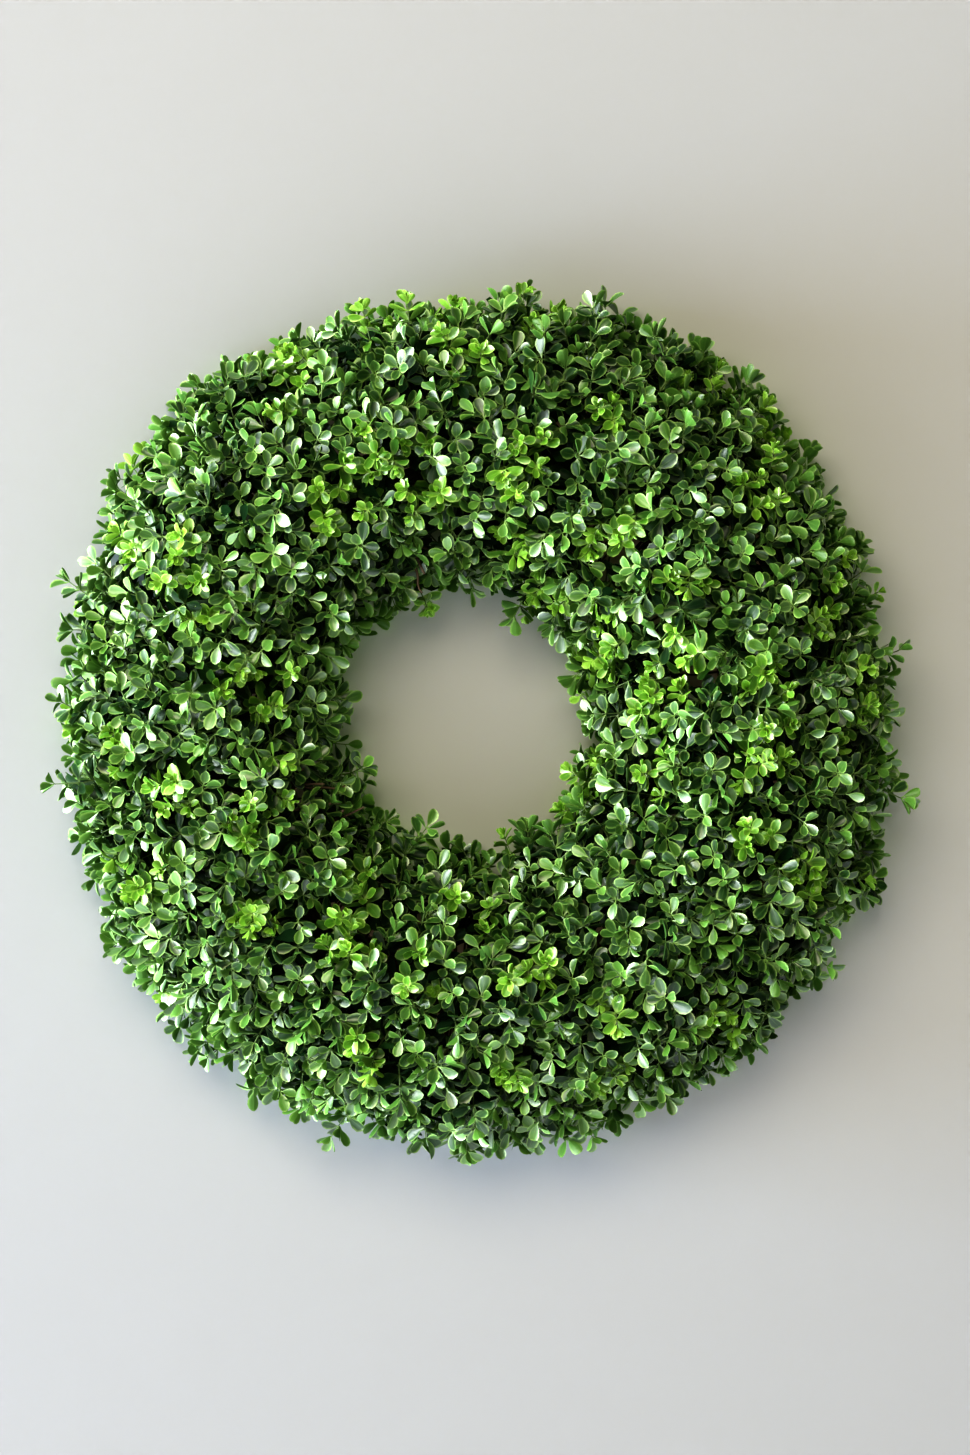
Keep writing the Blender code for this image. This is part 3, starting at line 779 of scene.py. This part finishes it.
def add_sprig(bm, rod, kind, seat, way, tip, axis, draw):
    """Adds a sprig: its stem from the vines to the tip and the whorls of leaves along it."""
    path, length = stem_path(seat, way, tip, axis)
    thick, thin = STEM_RADII
    bend_rod(bm, rod, path, lambda share: thick + (thin - thick) * share, 1)
    turn = draw.uniform(0, 360)
    own_tint, own_size = draw.uniform(*SPRIG_TINTS), draw.uniform(*SPRIG_SIZES)
    for below, count, tilt, size, cuts in WHORLS[kind]:
        # Leaves lower down the sprig sit deeper in the wreath and are painted darker, as shade
        depth_shade = DEEPEST_SHADE * min(1.0, below / FULL_SHADE_BELOW)
        share = 1.0 - below / length
        if share < LOWEST_WHORL:
            break
        root = path(share)
        along = (path(min(1.0, share + 0.03)) - path(share - 0.03)).normalized()
        first_side = along.orthogonal().normalized()
        turn += 180 / count + draw.uniform(-TURN_SPREAD, TURN_SPREAD)
        for number in range(count - (draw.random() < MISSING_LEAF)):
            angle = turn + 360 * number / count + draw.uniform(-TURN_SPREAD, TURN_SPREAD)
            side = Matrix.Rotation(math.radians(angle), 3, along) @ first_side
            leaf_tilt = math.radians(tilt + draw.uniform(-TILT_SPREAD, TILT_SPREAD))
            leaf_size = own_size * size * (1 + draw.uniform(-SIZE_SPREAD, SIZE_SPREAD))
            tint = own_tint + draw.uniform(-TINT_SPREAD, TINT_SPREAD) - depth_shade
            roll = math.radians(draw.gauss(0, ROLL_SPREAD))
            leaf = draw.choice(leaves[kind, cuts])
            add_leaf(bm, leaf, root, along, side, leaf_tilt, roll, leaf_size, tint)


# Without a seed of its own, the noise of the sprigs' lean would start from the clock
noise.seed_set(SEED)
draw = random.Random(SEED)
tufts = tuft_middles(draw)
bunches = all_bunches()
sprigs = {bunch[0]: [] for bunch in bunches}
for theta, alpha in sprig_sites(draw):
    here = surface(theta, alpha)
    kind = "young" if min((here - tuft).length for tuft in tufts) < TUFT_RADIUS else "grown"
    clump = noise.noise(here / CLUMP_SIZE)
    depth = TIP_DEPTH + DEPTH_SPREAD * draw.random() ** DEPTH_SKEW + CLUMP_DEPTH * clump
    lean = Vector([draw.gauss(0, AXIS_SPREAD) for _ in range(3)])
    lean += AXIS_CLUMP * noise.noise_vector(here / CLUMP_SIZE)
    axis = (out_from_vines(theta, alpha) + lean).normalized()
    tip = place(theta, alpha, reach(theta, alpha) - depth)
    tip.y = min(tip.y, -TIP_GAP)
    sprigs[nearest_bunch(bunches, kind, theta, alpha)[0]].append((theta, alpha, tip, axis))

for kind, spots in STRAYS.items():
    for millimetres, degrees in spots:
        theta = math.radians(degrees)
        across = millimetres / 1000 - RING_RADIUS
        height = STRAY_HEIGHT * draw.uniform(*STRAY_HEIGHT_SPREAD) - BUNDLE_DEPTH
        alpha = math.atan2(height, across)
        lean = Vector([draw.gauss(0, AXIS_SPREAD) for _ in range(3)])
        axis = (out_from_vines(theta, alpha) + lean).normalized()
        past_tip = STRAY_TIP_LEAF * LEAF_SIZES[kind][0]
        tip = place(theta, alpha, math.hypot(across, height) - past_tip)
        sprigs[nearest_bunch(bunches, kind, theta, alpha)[0]].append((theta, alpha, tip, axis))

stem_rod = straight_rod(4, 5)
shares = [face.center.z + 0.5 for face in stem_rod.polygons]
stem_rod.attributes.new("tint", "FLOAT", "FACE").data.foreach_set("value", shares)
for node, kind, middle, _ in bunches:
    bunch_draw = random.Random(f"{SEED} {node}")
    bunch = bmesh.new()
    for theta, alpha, tip, axis in sprigs[node]:
        seat_theta = middle[0] + SEAT_GATHER * math.remainder(theta - middle[0], math.tau)
        seat_alpha = middle[1] + SEAT_GATHER * (alpha - middle[1])
        seat = place(seat_theta, seat_alpha, SEAT_DISTANCE)
        way = out_from_vines(seat_theta, seat_alpha)
        add_sprig(bunch, stem_rod, kind, seat, way, tip, axis, bunch_draw)
    add_piece(f"leafy_{node}", bunch, [leaf_finishes[kind], stem_finish], f"boxwood_{kind}", node)

# The stage: a plain pale wall that the wreath hangs on, and a plain floor below it. Both are boards
# of matt paint seen from the front alone, so that they hide nothing from behind.
WALL_WIDTH = 7.0
WALL_HEIGHT = 5.0
WALL_BEHIND = 0.0004
FLOOR_BELOW = 1.75
FLOOR_DEPTH = 8.0


def paint(name, colour):
    """Matt paint on the face of a board, whose back isn't there, so that it hides nothing."""
    made = Finish(name, Base_Color=colour, Roughness=0.9)
    face = Signal(made, made.shader.outputs[0])
    behind = made.node("ShaderNodeNewGeometry", None, None, "Backfacing")
    nothing = made.node("ShaderNodeBsdfTransparent")
    seen = made.node("ShaderNodeMixShader", None, {0: behind, 1: face, 2: nothing})
    made.tree.links.new(seen.socket, made.tree.nodes["Material Output"].inputs["Surface"])
    return made.material


def stage_plane(name, colour, matrix):
    bm = bmesh.new()
    bmesh.ops.create_grid(bm, x_segments=1, y_segments=1, size=0.5)
    bmesh.ops.transform(bm, matrix=matrix, verts=bm.verts[:])
    plane = bpy.data.objects.new(name, as_mesh(bm, name))
    plane.data.materials.append(paint(name, colour))
    bpy.context.scene.collection.objects.link(plane)
    plane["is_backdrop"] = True
    return plane


size = Matrix.Diagonal((WALL_WIDTH, WALL_HEIGHT, 1.0, 1.0))
upright = Matrix.Translation((0.0, WALL_BEHIND, WALL_HEIGHT / 2 - FLOOR_BELOW))
upright @= Matrix.Rotation(math.pi / 2, 4, "X")
wall = stage_plane("wall", (0.497, 0.489, 0.496, 1.0), upright @ size)
size = Matrix.Diagonal((WALL_WIDTH, FLOOR_DEPTH, 1.0, 1.0))
flat = Matrix.Translation((0.0, 0.0, -FLOOR_BELOW))
floor = stage_plane("floor", (0.68, 0.69, 0.73, 1.0), flat @ size)

# The light. A cool window low at the far left lights the wall, and a wide curtain nearer by lights
# the leaves and is seen in their gloss. A warm fill and sky soften the shadows. A lamp behind the
# wall lights the back of the wreath alone, for the views from there.
# Colour and strength of the sky as it lights the wreath, and as it is seen past the wall
SKY = ((1.0, 0.950, 0.70, 1.0), 0.235)
BACKDROP = ((1.0, 0.99, 0.97, 1.0), 0.52)
ring_middle = place(0.0, 0.0, 0.0) - Vector((RING_RADIUS, 0.0, 0.0))


def soft_light(name, at, size, watts, colour):
    lamp = bpy.data.lights.new(name, "AREA")
    lamp.shape = "RECTANGLE"
    lamp.size, lamp.size_y = size
    lamp.energy = watts
    lamp.color = colour
    made = bpy.data.objects.new(name, lamp)
    made.location = at
    made.rotation_euler = (ring_middle - Vector(at)).to_track_quat("-Z", "Y").to_euler()
    bpy.context.scene.collection.objects.link(made)
    return made


def all_but(name, *left_out):
    """What a lamp shines on: everything but these."""
    collection = bpy.data.collections.new(name)
    for plane in left_out:
        collection.objects.link(plane)
    for member in collection.collection_objects:
        member.light_linking.link_state = "EXCLUDE"
    return collection


window = soft_light("window", (-7.5, -1.03, -1.14), (1.9, 4.4), 1180.0, (0.530, 0.700, 1.0))
window.visible_glossy = False
soft_light("fill", (-0.75, -3.2, 1.35), (2.8, 2.0), 70.0, (1.0, 0.930, 0.72))
curtain = soft_light("curtain", (-3.9, -1.7, 0.15), (5.0, 4.0), 620.0, (0.90, 0.955, 1.0))
back_light = soft_light("back_light", (1.2, 3.6, 0.9), (4.0, 3.0), 320.0, (1.0, 0.98, 0.94))
back_light.visible_glossy = False
curtain.light_linking.receiver_collection = all_but("all but the wall", wall)
back_light.light_linking.receiver_collection = all_but("all but the stage", wall, floor)
back_light.light_linking.blocker_collection = all_but("all but the wall behind", wall)
sky = bpy.data.worlds.new("sky")
bpy.context.scene.world = sky
sky.cycles_visibility.glossy = False
sky.use_nodes = True
sky_nodes, sky_links = sky.node_tree.nodes, sky.node_tree.links
rays = sky_nodes.new("ShaderNodeLightPath")
lit_or_seen = sky_nodes.new("ShaderNodeMixShader")
sky_links.new(rays.outputs["Is Camera Ray"], lit_or_seen.inputs[0])
for number, (colour, strength) in enumerate((SKY, BACKDROP), 1):
    shine = sky_nodes.new("ShaderNodeBackground")
    shine.inputs["Color"].default_value = colour
    shine.inputs["Strength"].default_value = strength
    sky_links.new(shine.outputs[0], lit_or_seen.inputs[number])
sky_links.new(lit_or_seen.outputs[0], sky_nodes["World Output"].inputs["Surface"])
bpy.context.scene.view_settings.view_transform = "Standard"
bpy.context.scene.view_settings.look = "High Contrast"

# The camera looks straight at the wreath, level with its middle, from 3 m away.
CAMERA_DISTANCE = 3.0
OUTLINE_DEPTH = 0.05
METRES_PER_PIXEL = 0.000878
PICTURE_HEIGHT = 1455
SENSOR = 36.0
MIDDLE_OFF = (0.003, -0.003)

camera = bpy.data.cameras.new("camera")
camera.sensor_width = SENSOR
camera.lens = SENSOR * (CAMERA_DISTANCE - OUTLINE_DEPTH) / (METRES_PER_PIXEL * PICTURE_HEIGHT)
eye = bpy.data.objects.new("camera", camera)
eye.location = ring_middle + Vector((MIDDLE_OFF[0], -CAMERA_DISTANCE, MIDDLE_OFF[1]))
eye.rotation_euler = (math.pi / 2, 0.0, 0.0)
bpy.context.scene.collection.objects.link(eye)
bpy.context.scene.camera = eye

low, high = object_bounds()
